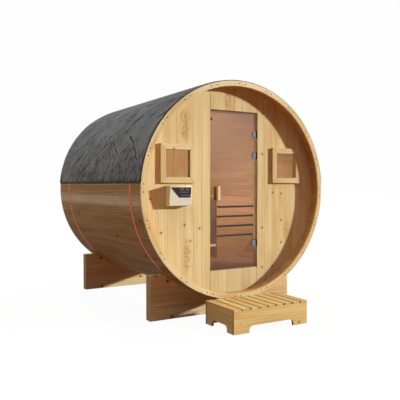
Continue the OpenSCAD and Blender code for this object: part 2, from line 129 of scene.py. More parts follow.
class Shader:
    """One node material with short calls to add and link its nodes."""

    def __init__(self, name):
        self.material = bpy.data.materials.new(name)
        self.material.use_nodes = True
        self.tree = self.material.node_tree
        self.bsdf = self.tree.nodes["Principled BSDF"]

    def feed(self, socket, value):
        """Links another node's socket, or sets a constant."""
        if isinstance(value, bpy.types.NodeSocket):
            self.tree.links.new(value, socket)
        else:
            socket.default_value = value

    def add(self, kind, inputs=None, **settings):
        made = self.tree.nodes.new("ShaderNode" + kind)
        for key, value in settings.items():
            setattr(made, key, value)
        for socket, value in (inputs or {}).items():
            self.feed(made.inputs[socket], value)
        return made

    def math(self, operation, first, second=0.0, third=0.0):
        return self.add("Math", {0: first, 1: second, 2: third}, operation=operation).outputs[0]

    def total(self, *shares):
        """Sum of values, each times its weight."""
        summed = 0.0
        for value, weight in shares:
            summed = self.math("MULTIPLY_ADD", value, weight, summed)
        return summed

    def vector(self, operation, first, second):
        return self.add("VectorMath", {0: first, 1: second}, operation=operation).outputs["Vector"]

    def mix(self, factor, first, second, blend="MIX"):
        made = self.add("Mix", {0: factor}, data_type="RGBA", blend_type=blend)
        for socket, value in ((made.inputs[6], first), (made.inputs[7], second)):
            self.feed(socket, (*value, 1) if isinstance(value, tuple) else value)
        return made.outputs[2]

    def ramp(self, value, low, high, out_low=0.0, out_high=1.0):
        """Smooth change between two values while the input goes from low to high."""
        sockets = {"Value": value, "From Min": low, "From Max": high, "To Min": out_low, "To Max": out_high}
        return self.add("MapRange", sockets, interpolation_type="SMOOTHSTEP").outputs[0]

    def noise(self, vector, scale=1.0, detail=3.0, roughness=0.55):
        sockets = {"Vector": vector, "Scale": scale, "Detail": detail, "Roughness": roughness}
        return self.add("TexNoise", sockets).outputs["Fac"]

    def place(self):
        return self.add("TexCoord").outputs["Object"]

    def bump(self, height, strength, distance):
        sockets = {"Height": height, "Strength": strength, "Distance": distance}
        self.feed(self.bsdf.inputs["Normal"], self.add("Bump", sockets).outputs[0])

    def set(self, **values):
        """Feeds inputs of the surface; an underscore stands for a space in a name."""
        for key, value in values.items():
            self.feed(self.bsdf.inputs[key.replace("_", " ")], value)


# Layers of the grain: scale lengthwise and crosswise, and the shift from board to board
RING_SCALES = (0.55, 24.0)
FINE_SCALES = (3.0, 190.0)
PATCH_SCALES = (1.6, 7.0)
BROAD_SCALES = (0.5, 8.0)
STREAK_SCALES = (1.4, 34.0)
BOARD_JUMP = (31.0, 47.0, 59.0)

# Parts of the layers' ranges that turn dark or warm
DARK_RANGE = (0.36, 0.64)
WARM_RANGE = (0.50, 0.70)
WARM_SHARE = 0.6

# Knots: scattered ones per metre, the bend of rings round one, and its core and halo in radii
KNOT_SCATTER = 3.2
BEND_REACH = (0.004, 0.06)
BEND_PHASE = 4.0
CORE_REACH = (0.6, 1.1)
CORE_SHARE = 0.95
HALO_REACH = (0.9, 2.6)
HALO_SHARE = 0.45
HALO_BROWN = scaled(KNOT_BROWN, 2.2)

# Whorls: swirling warm patches, taller than wide, with their reach in metres
SWIRL_SCALES = (55.0, 55.0, 28.0)
SWIRL_RANGE = (0.42, 0.60)
SWIRL_SHARES = (0.22, 0.90)
WHORL_REACH = (0.015, 0.06)
WHORL_SQUEEZE = 0.4
WHORL_DARK = 0.8


class Grain:
    """Growth rings, streaks and knots of boards, along one axis of the given coordinates."""

    def __init__(self, s, place, luck, along, knots=(), scatter=KNOT_SCATTER, whorls=()):
        self.s = s
        self.luck = luck
        jump = s.add("VectorMath", {0: BOARD_JUMP, "Scale": luck}, operation="SCALE")
        moved = s.vector("ADD", place, jump.outputs["Vector"])

        def stretched(scales):
            lengthwise, crosswise = scales
            scale = [crosswise] * 3
            scale[along] = lengthwise
            return s.vector("MULTIPLY", moved, tuple(scale))

        self.knot = self.nearest_knot(place, knots, scatter)
        bend = s.ramp(self.knot, *BEND_REACH, BEND_PHASE, 0.0)
        self.rings = s.add("TexWave", {
            "Vector": stretched(RING_SCALES), "Scale": 1.0, "Distortion": 6.0, "Detail": 2.0,
            "Detail Scale": 0.35, "Phase Offset": bend},
            bands_direction="DIAGONAL", wave_profile="SIN").outputs["Fac"]
        self.fine = s.noise(stretched(FINE_SCALES), detail=3.0, roughness=0.6)
        self.patch = s.noise(stretched(PATCH_SCALES), detail=3.0, roughness=0.6)
        broad = s.noise(stretched(BROAD_SCALES), detail=2.0)
        streaks = s.noise(stretched(STREAK_SCALES), detail=3.0)
        self.depth = s.total((broad, 0.5), (streaks, 0.26), (self.fine, 0.15), (self.rings, 0.09))
        self.whorl = None
        if whorls:
            swirl = s.noise(s.vector("MULTIPLY", place, SWIRL_SCALES), detail=2.0)
            flat = s.vector("MULTIPLY", place, (1.0, 1.0, WHORL_SQUEEZE))
            middles = [(x, y, z * WHORL_SQUEEZE) for x, y, z in whorls]
            near = s.ramp(self.nearest(flat, 1.0, middles), *WHORL_REACH, 1.0, 0.0)
            self.whorl = s.math("MULTIPLY", s.ramp(swirl, *SWIRL_RANGE, *SWIRL_SHARES), near)

    def nearest(self, place, start, spots):
        """Distance to the nearest of the listed spots, or the start value if that is less."""
        s = self.s
        for spot in spots:
            away = s.add("VectorMath", {0: place, 1: spot}, operation="DISTANCE").outputs["Value"]
            start = s.math("MINIMUM", away, start)
        return start

    def nearest_knot(self, place, knots, scatter):
        """Distance to the nearest knot, among listed places and scattered ones, in metres."""
        s = self.s
        cells = s.add("TexVoronoi", {"Vector": place, "Scale": scatter}).outputs["Distance"]
        return self.nearest(place, s.math("DIVIDE", cells, scatter), knots)

    def colour(self, tones, contrast=1.0):
        """Pale, dark and warm tones mixed by the layers of the grain."""
        s = self.s
        pale, dark, warm = tones
        made = s.mix(s.ramp(self.depth, *DARK_RANGE, 0.0, contrast), pale, dark)
        made = s.mix(s.ramp(self.patch, *WARM_RANGE, 0.0, WARM_SHARE * contrast), made, warm)
        if self.whorl:
            made = s.mix(self.whorl, made, scaled(warm, WHORL_DARK))
        return made

    def finish(self, colour, spread, knot_r, shine=0.15):
        """Knots, each board's own tone, gloss and relief."""
        s = self.s

        def around_knot(reach, share):
            near, far = reach
            return s.ramp(self.knot, knot_r * near, knot_r * far, share, 0.0)

        colour = s.mix(around_knot(HALO_REACH, HALO_SHARE), colour, HALO_BROWN)
        colour = s.mix(around_knot(CORE_REACH, CORE_SHARE), colour, KNOT_BROWN)
        tone = s.ramp(self.luck, 0.0, 1.0, 1.0 - spread, 1.0 + spread)
        colour = s.add("HueSaturation", {"Color": colour, "Value": tone}).outputs["Color"]
        s.set(Base_Color=colour, Roughness=s.ramp(self.fine, *WIDE, 0.5, 0.68), Specular_IOR_Level=shine)
        s.bump(s.total((self.fine, 1.0), (self.rings, 0.4)), strength=0.3, distance=0.001)
        return s.material


def wood(name, along, tones, knots=(), scatter=KNOT_SCATTER, spread=0.06, knot_r=0.009, contrast=1.0,
         whorls=(), shade_low=False, dark_ends=True):
    """Planed softwood boards with the grain along X, Y or Z; end grain may be darker, and low parts may get
    painted shade.
    """
    s = Shader(name)
    surface = s.add("NewGeometry").outputs
    grain = Grain(s, s.place(), surface["Random Per Island"], along, knots, scatter, whorls)
    colour = grain.colour(tones, contrast)
    if dark_ends:
        facing = s.math("ABSOLUTE", s.add("SeparateXYZ", {0: surface["Normal"]}).outputs[along])
        colour = s.mix(s.ramp(facing, *END_FACING), colour, END_SHADE, "MULTIPLY")
    # Painted shade: the wall turns darker towards its foot.
    if shade_low:
        height = s.add("SeparateXYZ", {0: s.place()}).outputs["Z"]
        low = s.ramp(height, AXIS_Z - WALL_R, LOW_SHADE_TOP, 1.0, 0.0)
        colour = s.mix(low, colour, LOW_WALL_SHADE, "MULTIPLY")
    return grain.finish(colour, spread, knot_r)


def round_barrel(s, count, shift):
    """Coordinates of arc, length and radius, the radius alone, and a chance for each piece round it."""
    apart = s.add("SeparateXYZ", {0: s.place()}).outputs
    height = s.math("SUBTRACT", apart["Z"], AXIS_Z)
    turn = s.math("ARCTAN2", apart["X"], height)
    radius = s.math("SQRT", s.total((apart["X"], apart["X"]), (height, height)))
    arc = s.math("MULTIPLY", turn, BARREL_R)
    place = s.add("CombineXYZ", {0: arc, 1: apart["Y"], 2: radius}).outputs[0]
    number = s.math("FLOOR", s.math("MULTIPLY", s.math("SUBTRACT", turn, shift), count / math.tau))
    luck = s.add("TexWhiteNoise", {"W": number}, noise_dimensions="1D").outputs["Value"]
    return place, radius, luck


# Knots on the staves: turn in degrees clockwise from the top, and place along the barrel
STAVE_KNOTS = [(-104.8, -0.859), (-108.3, -0.686), (-116.2, -0.152)]
STAVE_KNOT_R = 0.017
STAVE_SCATTER = 2.6
STAVE_SHINE = 0.02

# Painted highlight: a paler band along the left side; its arc, where it fades, and how far streaks fray its
# edges
SHEEN_ARC = -1.665 * BARREL_R
SHEEN_REACH = (0.07, 0.15)
SHEEN_FRAY = 0.12
SHEEN_STREAKS = (45.0, 1.1, 1.0)

# Radii between which a stave's inner face turns into the painted-shade tone of the rest of the stave
INNER_FACE = (BARREL_R - STAVE_T + 0.004, BARREL_R - STAVE_T + 0.008)


def stave_wood():
    """Staves in a darker painted-shade tone with a painted highlight band along one side; bare pine on their
    inner faces indoors and painted shade on them under the overhang.
    """
    s = Shader("pine_staves")
    place, radius, luck = round_barrel(s, STAVE_COUNT, 0.0)
    knots = [(math.radians(turn) * BARREL_R, y, BARREL_R) for turn, y in STAVE_KNOTS]
    grain = Grain(s, place, luck, 1, knots, STAVE_SCATTER)
    arc, length, _ = s.add("SeparateXYZ", {0: place}).outputs
    # Painted highlight: the pale band along the left side, frayed by streaks.
    streaks = s.noise(s.vector("MULTIPLY", place, SHEEN_STREAKS), detail=2.0)
    away = s.math("MULTIPLY_ADD", streaks, SHEEN_FRAY, s.math("ABSOLUTE", s.math("SUBTRACT", arc, SHEEN_ARC)))
    pale = s.ramp(away, *SHEEN_REACH, 1.0, 0.0)
    colour = s.mix(pale, grain.colour(STAVE_SHADED, contrast=0.9), grain.colour(STAVE_SHEEN, contrast=0.9))
    inside = s.ramp(radius, *INNER_FACE, 1.0, 0.0)
    indoors = s.math("MULTIPLY", s.math("GREATER_THAN", length, WALL_LOW.y),
                     s.math("LESS_THAN", length, BACK_WALL_HIGH.y))
    # Inner faces: bare pine indoors, painted shade under the overhang outdoors.
    inner = s.mix(indoors, grain.colour(OVERHANG_SHADED, contrast=0.8), grain.colour(INSIDE, contrast=1.5))
    return grain.finish(s.mix(inside, colour, inner), spread=0.06, knot_r=STAVE_KNOT_R, shine=STAVE_SHINE)


# Heights between which painted light turns the rim paler towards its top
RIM_LIT_HEIGHTS = (AXIS_Z + 0.75 * BARREL_R, AXIS_Z + 0.95 * BARREL_R)


def rim_wood():
    """Ring segments with the grain along the rim, and painted light that makes them paler at the top."""
    s = Shader("pine_rim")
    place, _, luck = round_barrel(s, RIM_COUNT, RIM_TURN)
    grain = Grain(s, place, luck, 0)
    height = s.add("SeparateXYZ", {0: s.place()}).outputs["Z"]
    colour = s.mix(s.ramp(height, *RIM_LIT_HEIGHTS), grain.colour(PINE), grain.colour(RIM_LIT_TOP))
    return grain.finish(colour, spread=0.05, knot_r=0.01)


# Colours of the felt, linear, with painted shade for hollows, creases and lines and a painted highlight for
# ridges
FELT_TONES = ((0.148, 0.158, 0.165), (0.180, 0.191, 0.199))
FELT_HOLLOW_SHADE = (0.045, 0.046, 0.048)
FELT_SPECK = (0.25, 0.256, 0.262)
FELT_CREASE_SHADE = (0.03, 0.03, 0.032)
FELT_RIDGE_HIGHLIGHT = (0.30, 0.31, 0.32)
FELT_LINE_SHADE = (0.025, 0.025, 0.027)

# Its lines, drawn as painted shade, and crumples: where lines show, how high gathers reach, and the arc
# where lines and crease shade fade
LINES_SEEN = (0.38, 0.46)
LINE_PATCHES = 3.5
GATHER_REACH = (0.08, 0.5)
SUNNY_ARC = (0.05, 0.5)
SUNNY_SHARE = 0.35
CRUMPLE_SCALES = (48.0, 70.0, 48.0)


def felt_material():
    """Bituminous felt: dark mineral grain, with painted highlights on the folds and painted shade in the
    creases, hollows and lines.
    """
    s = Shader("roof_felt_grain")
    place = s.place()
    arc, length, _ = s.add("SeparateXYZ", {0: round_barrel(s, 1, 0.0)[0]}).outputs
    height = s.math("MULTIPLY_ADD", s.math("ABSOLUTE", arc), -1.0, FELT_REACH * BARREL_R)
    shown = s.ramp(s.noise(place, scale=LINE_PATCHES, detail=1.0), *LINES_SEEN)

    def strokes(lean, along, up, width):
        """Thin wavy lines that lean with the height and come and go."""
        moved = s.math("MULTIPLY_ADD", height, lean, length)
        spot = s.add("CombineXYZ", {0: s.math("MULTIPLY", moved, along), 1: s.math("MULTIPLY", height, up)})
        level = s.math("ABSOLUTE", s.math("SUBTRACT", s.noise(spot.outputs[0], detail=1.5), 0.5))
        return s.math("MULTIPLY", s.ramp(level, 0.0, width, 1.0, 0.0), shown)

    low = s.ramp(height, *GATHER_REACH, 1.0, 0.0)
    gathers = s.math("MULTIPLY", strokes(lean=0.15, along=13.0, up=2.2, width=0.024), low)
    slants = s.math("MAXIMUM", strokes(lean=0.7, along=7.0, up=1.2, width=0.018),
                    strokes(lean=0.85, along=15.0, up=1.5, width=0.026))
    # The painted shade of lines and creases is fainter on the right, where full sun would make it stand out
    # far more.
    sunny = s.ramp(arc, *SUNNY_ARC, 1.0, SUNNY_SHARE)
    lines = s.math("MULTIPLY", s.math("MAXIMUM", gathers, slants), sunny)
    specks = s.noise(place, scale=420.0, detail=2.0)
    cloud = s.noise(place, scale=3.0, detail=3.0)
    crease = s.add("Attribute", attribute_name="crease").outputs["Fac"]
    crumple = s.noise(s.vector("MULTIPLY", place, CRUMPLE_SCALES), detail=2.0, roughness=0.6)
    colour = s.mix(s.ramp(cloud, *NARROW), *FELT_TONES)
    # Painted shade in the hollows of the crumples.
    colour = s.mix(s.ramp(crumple, 0.3, 0.5, 0.25, 0.0), colour, FELT_HOLLOW_SHADE)
    colour = s.mix(s.ramp(specks, 0.35, 0.75, 0.0, 0.4), colour, FELT_SPECK)
    # Painted shade in the creases and a painted highlight on the ridges, from the crease attribute.
    crease_shade = s.math("MULTIPLY", s.ramp(crease, 0.05, 0.9, 0.0, 0.9), sunny)
    colour = s.mix(crease_shade, colour, FELT_CREASE_SHADE)
    colour = s.mix(s.ramp(crease, -0.8, -0.1, 0.25, 0.0), colour, FELT_RIDGE_HIGHLIGHT)
    # Painted shade along the thin lines.
    colour = s.mix(s.math("MULTIPLY", lines, 0.85), colour, FELT_LINE_SHADE)
    s.set(Base_Color=colour, Roughness=s.ramp(specks, *WIDE, 0.75, 0.95), Specular_IOR_Level=0.25)
    s.bump(s.total((crumple, 9.0), (specks, 0.6), (lines, -5.0)), strength=0.6, distance=0.001)
    return s.material


def metal(name, colour, rough_low, rough_high, brush):
    """Metal with faint brush marks in its gloss."""
    s = Shader(name)
    marks = s.noise(s.vector("MULTIPLY", s.place(), brush), detail=3.0)
    tint = s.mix(s.ramp(marks, *NARROW), colour, scaled(colour, 0.82))
    s.set(Base_Color=tint, Metallic=1.0, Roughness=s.ramp(marks, *MEDIUM, rough_low, rough_high))
    s.bump(marks, strength=0.08, distance=0.0004)
    return s.material


# Colours of the hoops' paint and of a faint glow that is painted light, linear
HOOP_TONES = ((0.70, 0.175, 0.045), (0.58, 0.135, 0.035))
HOOP_PAINTED_GLOW = (0.9, 0.155, 0.035)
HOOP_PAINTED_GLOW_STRENGTH = 0.065
HOOP_MARKS = (60.0, 4.0, 60.0)


def hoop_paint():
    """Vivid orange-brown satin paint on steel, with a faint glow as painted light."""
    s = Shader("hoop_orange_paint")
    marks = s.noise(s.vector("MULTIPLY", s.place(), HOOP_MARKS), detail=3.0)
    s.set(Base_Color=s.mix(s.ramp(marks, *NARROW), *HOOP_TONES))
    s.set(Roughness=s.ramp(marks, *MEDIUM, 0.35, 0.5), Specular_IOR_Level=0.2)
    # Painted light: a faint glow that brightens the hoops in shade.
    s.set(Emission_Color=(*HOOP_PAINTED_GLOW, 1), Emission_Strength=HOOP_PAINTED_GLOW_STRENGTH)
    s.bump(marks, strength=0.08, distance=0.0004)
    return s.material


def plastic(name, colour, rough, texture_scale, bump):
    """Moulded plastic with a fine surface texture."""
    s = Shader(name)
    texture = s.noise(s.place(), scale=texture_scale, detail=2.0)
    tint = s.mix(s.ramp(texture, *NARROW, 0.0, 0.25), colour, scaled(colour, 0.85))
    s.set(Base_Color=tint, Roughness=s.ramp(texture, *WIDE, rough - 0.06, rough + 0.06))
    s.bump(texture, strength=bump, distance=0.0003)
    return s.material


# Heights between which the haze on a glass grows
HAZE_HEIGHTS = (AXIS_Z - 0.4, AXIS_Z + 0.7)


def glass_material(name, tint, haze=0.0):
    """Bronze-tinted float glass with a trace of waviness and, higher up, a faint pale haze."""
    s = Shader(name)
    s.set(Base_Color=(*tint, 1), Roughness=0.02, IOR=1.45, Transmission_Weight=1.0)
    if haze:
        height = s.add("SeparateXYZ", {0: s.place()}).outputs["Z"]
        s.set(Transmission_Weight=s.ramp(height, *HAZE_HEIGHTS, 1.0, 1.0 - haze))
    s.bump(s.noise(s.place(), scale=2.5, detail=1.0), strength=0.02, distance=0.001)
    return s.material


def glow(name, colour, strength):
    """Lit mark on the display."""
    s = Shader(name)
    spots = s.noise(s.place(), scale=900.0, detail=1.0)
    s.set(Base_Color=s.mix(s.ramp(spots, *NARROW, 0.0, 0.2), colour, scaled(colour, 0.7)))
    s.set(Roughness=0.4, Emission_Color=(*colour, 1), Emission_Strength=strength)
    return s.material


# Knots on flat faces: distance right of the axis and height above it
WALL_KNOTS = [
    (0.338, 0.366), (0.475, -0.026), (0.586, -0.037), (0.587, -0.313), (0.341, -0.381), (0.588, -0.542),
    (0.342, -0.785), (0.471, -0.784), (0.342, 0.772), (-0.806, -0.385), (-0.561, -0.321), (-0.915, -0.072),
]
WALL_WHORLS = [
    (-0.080, 0.875), (-0.566, 0.660), (-0.560, 0.560), (-0.535, -0.560), (-0.540, -0.660), (0.66, -0.43),
]
FRAME_KNOTS = [(-0.805, 0.376), (-0.683, 0.380)]
FRONT_CRADLE_KNOTS = [(-0.644, -0.866), (-0.770, -0.798), (-0.597, -1.219)]
REAR_CRADLE_KNOTS = [(-0.633, -0.864), (-0.614, -1.220), (-0.094, -1.131)]
STEP_KNOTS = [(0.316, -1.215)]


def on_face(y, places):
    """Places on a flat face, in the shared frame."""
    return [(x, y, AXIS_Z + z) for x, z in places]


cradle_knots = on_face(FRONT_CRADLE_Y, FRONT_CRADLE_KNOTS) + on_face(REAR_CRADLE_Y, REAR_CRADLE_KNOTS)

# Scales of brush marks on metal, along X, Y and Z
UPRIGHT_BRUSH = (90.0, 90.0, 12.0)
FINE_BRUSH = (300.0, 300.0, 300.0)

PINE_FRONT = wood("pine_front_boards", 2, PINE, on_face(WALL_LOW.y, WALL_KNOTS), scatter=2.2, spread=0.035,
                  contrast=0.85, whorls=on_face(WALL_LOW.y, WALL_WHORLS), shade_low=True)
PINE_UPRIGHT = wood("pine_upright", 2, PINE)
PINE_ACROSS = wood("pine_across", 0, PINE, on_face(FRAME_Y, FRAME_KNOTS))
STEP_ACROSS = wood("pine_step_across", 0, STEP, on_face(STEP_Y, STEP_KNOTS))
STEP_LENGTHWISE = wood("pine_step_lengthwise", 1, STEP, dark_ends=False)
CRADLE_WOOD = wood("pine_cradles", 0, CRADLE, cradle_knots, knot_r=0.014, contrast=1.15)
PINE_STAVES = stave_wood()
PINE_RIM = rim_wood()
INSIDE_ACROSS = wood("pine_inside_across", 0, INSIDE, contrast=0.8)
INSIDE_LENGTHWISE = wood("pine_inside_lengthwise", 1, INSIDE, contrast=0.8)
SEAT_WOOD = wood("pine_seat", 1, SEAT, contrast=0.8)
INSIDE_UPRIGHT = wood("pine_inside_upright", 2, INSIDE, contrast=0.8)
HANDLE_WOOD = wood("handle_pine", 2, HANDLE, scatter=1.0)
FELT = felt_material()
HOOP = hoop_paint()
CHROME = metal("hinge_chrome", (0.34, 0.38, 0.41), 0.12, 0.25, UPRIGHT_BRUSH)
DARK_STEEL = metal("hinge_dark_steel", (0.13, 0.11, 0.10), 0.25, 0.4, UPRIGHT_BRUSH)
SCREW = metal("screw_dark", (0.10, 0.075, 0.05), 0.4, 0.6, FINE_BRUSH)
DOOR_GLASS = glass_material("bronze_door_glass", (0.76, 0.57, 0.455), haze=0.17)
PANE_GLASS = glass_material("bronze_pane_glass", (0.99, 0.79, 0.56))
CREAM = plastic("box_cream_plastic", (0.78, 0.73, 0.59), rough=0.5, texture_scale=600.0, bump=0.25)
BLACK = plastic("display_black_gloss", (0.008, 0.008, 0.011), rough=0.16, texture_scale=200.0, bump=0.05)
CATCH = plastic("catch_dark_plastic", (0.05, 0.035, 0.03), rough=0.5, texture_scale=500.0, bump=0.2)
LATCH = plastic("latch_pale_plastic", (0.52, 0.35, 0.23), rough=0.45, texture_scale=500.0, bump=0.1)
DIGIT = glow("display_digits", (0.62, 0.13, 0.03), strength=0.35)
MARK = glow("display_marks", (0.16, 0.21, 0.27), strength=0.12)
DOT = glow("display_dot", (0.72, 0.25, 0.19), strength=0.25)


def piece(name, verts, faces, material, smooth=False):
    """New mesh object that rides on the root body."""
    mesh = bpy.data.meshes.new(name)
    mesh.from_pydata([tuple(v) for v in verts], [], faces)
    return dress(mesh, name, material, "root", smooth)


def dress(mesh, name, material, body, smooth):
    """Object from a mesh, with its material, that rides on a body."""
    mesh.materials.append(material)
    mesh.validate()
    if smooth:
        mesh.shade_smooth()
    made = bpy.data.objects.new(name, mesh)
    bpy.context.scene.collection.objects.link(made)
    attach(made, body)
    return made


# Easing: points nearer than this are joined, and angles between faces that are flat, sharp or rounded
WELD = 1e-5
FLAT_ANGLE = math.radians(1)
SHARP_ANGLE = math.radians(30)
ROUND_ANGLE = math.radians(40)


def eased(node, material, width, body="root"):
    """Copy of a CAD piece with eased edges, which stands for it."""
    form = bmesh.new()
    form.from_mesh(nodes[node].data)
    bmesh.ops.remove_doubles(form, verts=form.verts, dist=WELD)
    bmesh.ops.dissolve_limit(form, angle_limit=FLAT_ANGLE, verts=form.verts, edges=form.edges)
    name = node + "_eased"
    mesh = bpy.data.meshes.new(name)
    form.to_mesh(mesh)
    form.free()
    mesh.shade_smooth()
    mesh.set_sharp_from_angle(angle=SHARP_ANGLE)
    made = dress(mesh, name, material, body, False)
    bevel = made.modifiers.new("ease", "BEVEL")
    bevel.width = width
    bevel.segments = 2
    bevel.limit_method = "ANGLE"
    bevel.angle_limit = ROUND_ANGLE
    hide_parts(node)
    return made


def applied(made):
    """Turns an object's modifiers into its own mesh."""
    depsgraph = bpy.context.evaluated_depsgraph_get()
    mesh = bpy.data.meshes.new_from_object(made.evaluated_get(depsgraph))
    made.modifiers.clear()
    made.data = mesh


# Points across a board's flat, the least half height of a board, and the room round a window's pane
BOARD_COLUMNS = 5
LEAST_HALF = 0.002
HOLE_GROW = Vector((0.0003, 0.2, 0.0003))


def board_outline(x_low, x_high, y_low, y_high):
    """Cross-section of an upright board with eased edges, as points in X and Y."""
    ease = BOARD_EASE
    flat = np.linspace(x_low + ease, x_high - ease, BOARD_COLUMNS)
    front = [(x_low, y_low + ease), *((x, y_low) for x in flat), (x_high, y_low + ease)]
    back = [(x_high, y_high - ease), *((x, y_high) for x in flat[::-1]), (x_low, y_high - ease)]
    return front + back


def boards(name, edges, y_low, y_high, reach, material, hole=None):
    """Upright boards side by side; reach gives a board's lowest and highest point at a distance sideways."""
    verts = []
    faces = []
    for low, high in zip(edges[:-1], edges[1:]):
        outline = board_outline(low + BOARD_SEAM / 2, high - BOARD_SEAM / 2, y_low, y_high)
        count = len(outline)
        start = len(verts)
        for end in (0, 1):
            verts += [(x, y, reach(x)[end]) for x, y in outline]
        ring = range(count)
        faces += [[start + i, start + (i + 1) % count, start + count + (i + 1) % count, start + count + i]
                  for i in ring]
        faces.append([start + i for i in reversed(ring)])
        faces.append([start + count + i for i in ring])
    made = piece(name, verts, faces, material)
    if hole:
        cut_hole(made, *hole)
    return made


def cut_hole(made, low, high):
    """Cuts a window's box out of a board wall."""
    bpy.ops.mesh.primitive_cube_add(size=1, location=(low + high) / 2)
    cutter = bpy.context.object
    cutter.scale = high - low
    bpy.context.view_layer.update()
    hole = made.modifiers.new("hole", "BOOLEAN")
    hole.operation = "DIFFERENCE"
    hole.object = cutter
    bpy.context.view_layer.update()
    applied(made)
    bpy.data.objects.remove(cutter)


def chord(x, radius=WALL_R):
    """Lowest and highest point of the end wall's disc at a distance sideways."""
    half = math.sqrt(max(radius * radius - x * x, LEAST_HALF ** 2))
    return AXIS_Z - half, AXIS_Z + half


def build_walls():
    """Boards of the front wall's sides and panels, and of the back wall."""
    for side, sign in (("left", -1), ("right", 1)):
        pane_low, pane_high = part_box("window_glass_" + side)
        edges = sorted(sign * x for x in np.linspace(POST_X + WALL_SEAM, WALL_R, SIDE_BOARDS + 1))
        wall = boards(f"front_boards_{side}", edges, WALL_LOW.y, WALL_HIGH.y, chord, PINE_FRONT,
                      (pane_low - HOLE_GROW, pane_high + HOLE_GROW))
        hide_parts("front_wall_" + side)
    edges = np.linspace(POST_SEAM - DOOR_X, DOOR_X - POST_SEAM, PANEL_BOARDS + 1)
    for node, end in (("door_header", 1), ("door_sill", 0)):
        low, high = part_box(node)
        foot = low.z if end else high.z

        def reach(x):
            limit = chord(x, PANEL_R)[end]
            return (foot, limit) if end else (limit, foot)

        panel = boards(node + "_boards", edges, low.y, high.y, reach, PINE_FRONT)
        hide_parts(node)
    edges = np.linspace(-WALL_R, WALL_R, BACK_BOARDS + 1)
    back = boards("back_boards", edges, BACK_WALL_LOW.y, BACK_WALL_HIGH.y, chord, PINE_FRONT)
    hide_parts("back_wall_left", "back_wall_middle", "back_wall_right")


def build_window_frames():
    """Eased mitred rails, with the grain along each rail."""
    for side in ("left", "right"):
        rails = eased("window_frame_" + side, PINE_UPRIGHT, FRAME_EASE)
        rails.data.materials.append(PINE_ACROSS)
        low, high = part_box("window_frame_" + side)
        middle = (low + high) / 2
        for face in rails.data.polygons:
            away = face.center - middle
            face.material_index = int(abs(away.z) > abs(away.x))


# Roof felt: seed, grid, gap under it, and share of its thickness below the wrinkles
FELT_SEED = 11
FELT_ROWS = 257
FELT_COLUMNS = 325
UNDERSIDE_STEP = 4
FELT_GAP = 0.0004
TOP_SHARE = 0.6

# Lifts, depths and widths of its wrinkles, and how far they wander, in metres
BED_LIFT = 0.006
MEAN_LIFT = 0.007
PUFF_LIFT = 0.003
FINE_LIFT = 0.003
GATHER_DEPTH = 0.007
SLANT_DEPTH = 0.004
CREASE_DEPTH = 0.009
CREASE_WIDTH = 0.008
LIP_LIFT = 0.002
LIP_AWAY = 0.017
LIP_WIDTH = 0.010
SWAY = 0.08
JITTER = 0.02

# Where wrinkles are calmer: slants low down, and all of them towards the ridge and at the edges
LOW_REACH = (0.08, 0.45)
LOW_CALM = 0.6
RIDGE_REACH = (0.7, 1.2)
RIDGE_CALM = 0.4
EDGE_REACH = 0.05
EDGE_SHARE = 0.45

# Shares of the whole arc between which the left side's wrinkles turn into the right side's
SIDES_MEET = (0.44, 0.56)

# Depth below the surroundings that is a full crease, and how many grid points these reach
CREASE_SCALE = 0.0022
CREASE_REACH = 3

# Deep creases: points as height along the arc above the lower edge, and distance from the front edge
DEEP_CREASES = [
    [(0.15, 0.69), (0.27, 0.62), (0.41, 0.82)],
    [(0.22, 0.11), (0.29, 0.21), (0.47, 0.48)],
    [(0.02, 1.75), (0.30, 1.27), (0.46, 0.87)],
    [(0.32, 2.20), (0.48, 1.71)],
    [(0.02, 0.60), (0.16, 0.45)],
    [(0.04, 2.38), (0.23, 2.27)],
    [(0.36, 1.20), (0.52, 1.27)],
    [(0.42, 0.44), (0.67, 0.53)],
    [(0.41, 1.92), (0.82, 1.29)],
]


def waves(u, v, chance):
    """Gradient noise over cells of one unit, about -0.7 to 0.7."""
    u = u - u.min()
    v = v - v.min()
    column, row = u.astype(int), v.astype(int)
    turns = chance.uniform(0, math.tau, (column.max() + 2, row.max() + 2))
    u, v = u - column, v - row
    total = np.zeros_like(u)
    for right in (0, 1):
        for up in (0, 1):
            turn = turns[column + right, row + up]
            near_u, near_v = (1 - abs(u - right)), (1 - abs(v - up))
            ease = near_u ** 2 * (3 - 2 * near_u) * near_v ** 2 * (3 - 2 * near_v)
            total += ease * (np.cos(turn) * (u - right) + np.sin(turn) * (v - up))
    return total


def smooth_step(value, low, high):
    """Smooth rise from 0 to 1 while the value goes from low to high."""
    share = np.clip((value - low) / (high - low), 0, 1)
    return share * share * (3 - 2 * share)


def bell(value, width):
    """1 in the middle, falling off smoothly on both sides."""
    return np.exp(-(value / width) ** 2)


def distance_to(points, height, length):
    """Distance of each spot from a run of straight lines between points."""
    nearest = np.full_like(height, np.inf)
    for start, end in zip(points[:-1], points[1:]):
        run = np.subtract(end, start)
        share = np.clip(((height - start[0]) * run[0] + (length - start[1]) * run[1]) / run.dot(run), 0, 1)
        away = np.hypot(height - start[0] - share * run[0], length - start[1] - share * run[1])
        nearest = np.minimum(nearest, away)
    return nearest


